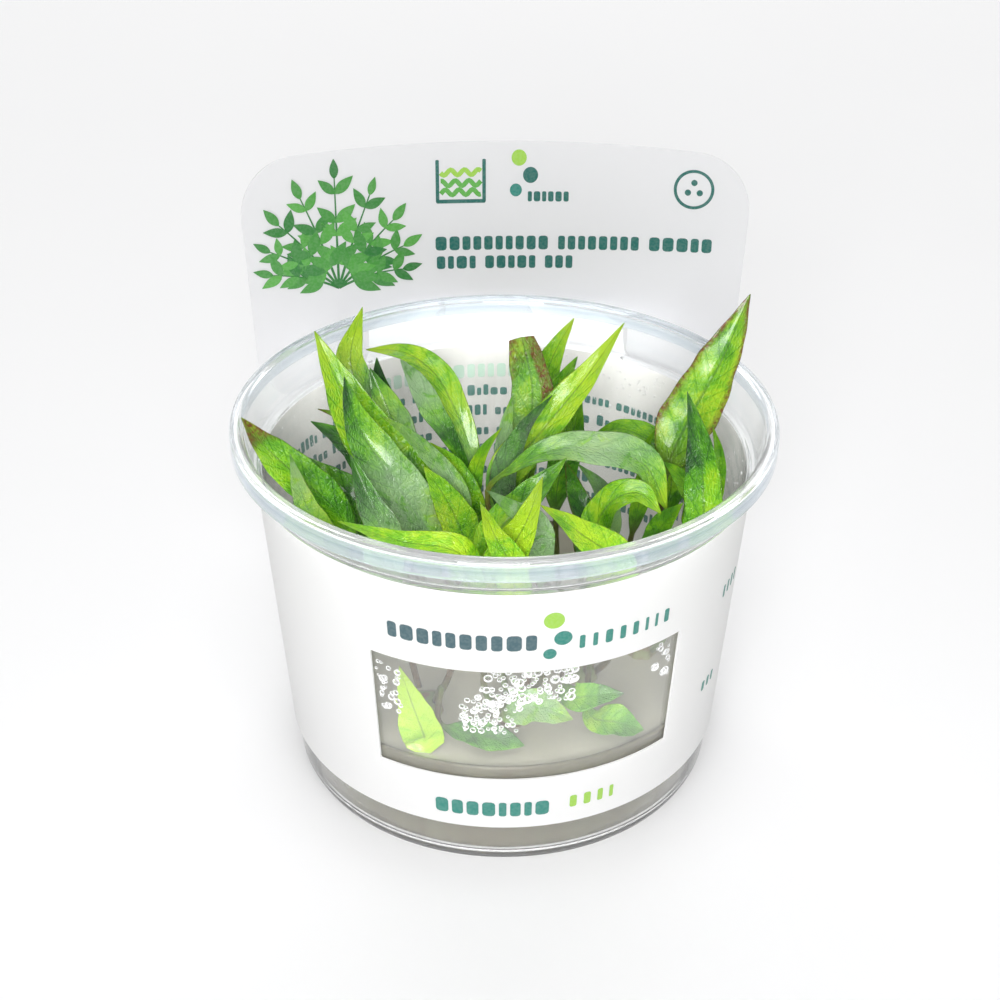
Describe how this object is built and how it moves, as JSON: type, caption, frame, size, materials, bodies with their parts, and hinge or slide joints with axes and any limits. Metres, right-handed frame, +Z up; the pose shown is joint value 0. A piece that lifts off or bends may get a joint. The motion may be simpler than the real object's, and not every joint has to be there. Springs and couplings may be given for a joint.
{
  "type": "potted cryptocoryne wendtii in a clear in-vitro cup",
  "caption": "Aquarium plant with lance-shaped leaves on stalks, growing in jelly in a clear flanged cup with a printed sleeve, a window and an upright flag.",
  "frame": {"origin": "centre of the cup's flat underside, which rests on the table", "axes": "+Z up out of the cup, -Y towards the front with the sleeve's window, +Y towards the upright flag"},
  "size_m": [0.1025, 0.1009, 0.105],
  "materials": {
    "clear_plastic": "clear, thin-walled, glossy",
    "white_sheet": "white printed plastic sheet, satin",
    "jelly": "grey-beige growing jelly, wet and see-through",
    "crown_tissue": "plant stem, olive and red-brown",
    "leaf_bright": "bright yellow-green leaf, satin",
    "leaf_mid": "mid green leaf, satin",
    "leaf_dark": "dark green leaf, satin"
  },
  "bodies": {
    "root": {"crown_back": "crown_tissue", "crown_centre": "crown_tissue", "crown_edge": "crown_tissue", "crown_front": "crown_tissue", "crown_inner": "crown_tissue", "crown_left": "crown_tissue", "crown_middle": "crown_tissue", "crown_right": "crown_tissue", "cup": "clear_plastic", "gel": "jelly", "label": "white_sheet", "leaf_back_1": "leaf_bright", "leaf_back_2": "leaf_mid", "leaf_back_3": "leaf_dark", "leaf_back_4": "leaf_bright", "leaf_back_5": "leaf_mid", "leaf_centre_1": "leaf_bright", "leaf_centre_2": "leaf_mid", "leaf_centre_3": "leaf_dark", "leaf_centre_4": "leaf_bright", "leaf_centre_5": "leaf_mid", "leaf_centre_6": "leaf_dark", "leaf_centre_7": "leaf_bright", "leaf_edge_1": "leaf_bright", "leaf_edge_2": "leaf_mid", "leaf_edge_3": "leaf_dark", "leaf_edge_4": "leaf_bright", "leaf_front_1": "leaf_bright", "leaf_front_2": "leaf_mid", "leaf_front_3": "leaf_dark", "leaf_front_4": "leaf_bright", "leaf_front_5": "leaf_mid", "leaf_front_6": "leaf_dark", "leaf_inner_1": "leaf_bright", "leaf_inner_2": "leaf_mid", "leaf_inner_3": "leaf_dark", "leaf_inner_4": "leaf_bright", "leaf_inner_5": "leaf_mid", "leaf_inner_6": "leaf_dark", "leaf_left_1": "leaf_bright", "leaf_left_2": "leaf_mid", "leaf_left_3": "leaf_dark", "leaf_left_4": "leaf_bright", "leaf_left_5": "leaf_mid", "leaf_middle_1": "leaf_bright", "leaf_middle_2": "leaf_mid", "leaf_middle_3": "leaf_dark", "leaf_middle_4": "leaf_bright", "leaf_middle_5": "leaf_mid", "leaf_middle_6": "leaf_dark", "leaf_middle_7": "leaf_bright", "leaf_middle_8": "leaf_mid", "leaf_right_1": "leaf_bright", "leaf_right_2": "leaf_mid", "leaf_right_3": "leaf_dark", "leaf_right_4": "leaf_bright", "leaf_right_5": "leaf_mid", "leaf_right_6": "leaf_dark", "leaf_right_7": "leaf_bright"}
  },
  "joints": []
}
